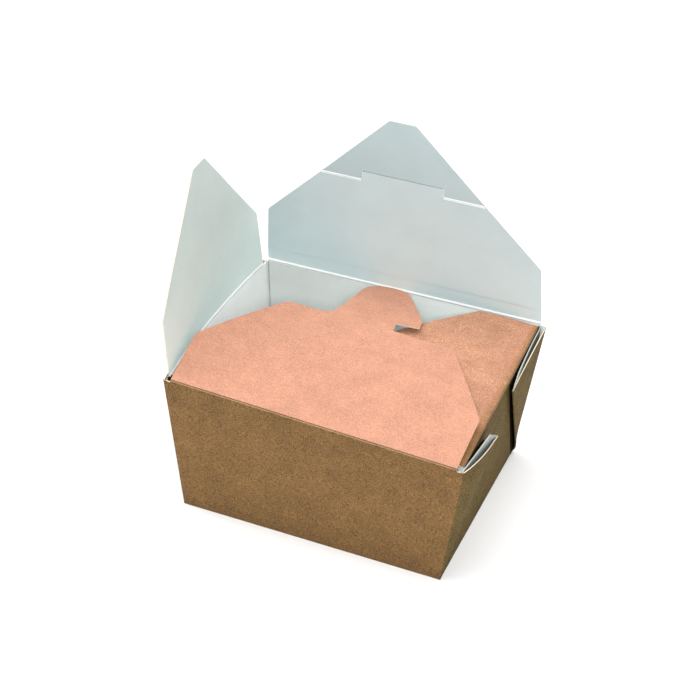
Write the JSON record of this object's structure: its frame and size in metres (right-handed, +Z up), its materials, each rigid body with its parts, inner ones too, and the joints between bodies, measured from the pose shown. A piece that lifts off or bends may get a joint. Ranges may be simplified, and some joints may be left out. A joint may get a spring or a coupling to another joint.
{
  "type": "takeaway food carton",
  "caption": "Folded paperboard takeaway box with a tapered body, folded corner webs, tuck flaps, a tongue on the front flap and a lid with a slit, its lid and left flap open.",
  "frame": {"origin": "centre of the base's underside", "axes": "+X to the right along the front wall, +Y from the front wall to the back wall, +Z up"},
  "size_m": [0.1428, 0.1022, 0.1527],
  "materials": {
    "kraft_board": "matt unbleached kraft board, fine fibres",
    "coated_board": "white coated inside of the same board, soft satin"
  },
  "bodies": {
    "carton": {"carton_body": "kraft_board"},
    "front_flap": {"front_flap": "kraft_board"},
    "left_flap": {"left_flap": "coated_board"},
    "lid": {"back_flap": "coated_board"},
    "lid_tip": {"tuck_flap": "coated_board"}
  },
  "joints": [
    {"name": "front_flap_fold", "type": "hinge", "parent": "carton", "child": "front_flap", "pos_m": [-0.00024, -0.05054, 0.0651], "axis": [0.9995, 0.0021, -0.0323], "range_deg": [0, 200]},
    {"name": "left_flap_fold", "type": "hinge", "parent": "carton", "child": "left_flap", "pos_m": [-0.0637, -0.00014, 0.0645], "axis": [-0.004, -0.9991, 0.0415], "range_deg": [-12, 75]},
    {"name": "lid_fold", "type": "hinge", "parent": "carton", "child": "lid", "pos_m": [0.00024, 0.05059, 0.0659], "axis": [-0.9995, -0.0021, -0.0323], "range_deg": [-67, 110]},
    {"name": "lid_tip_fold", "type": "hinge", "parent": "lid", "child": "lid_tip", "pos_m": [-0.00149, 0.04672, 0.11983], "axis": [-0.9995, -0.0021, -0.0323], "range_deg": [-30, 0]}
  ]
}
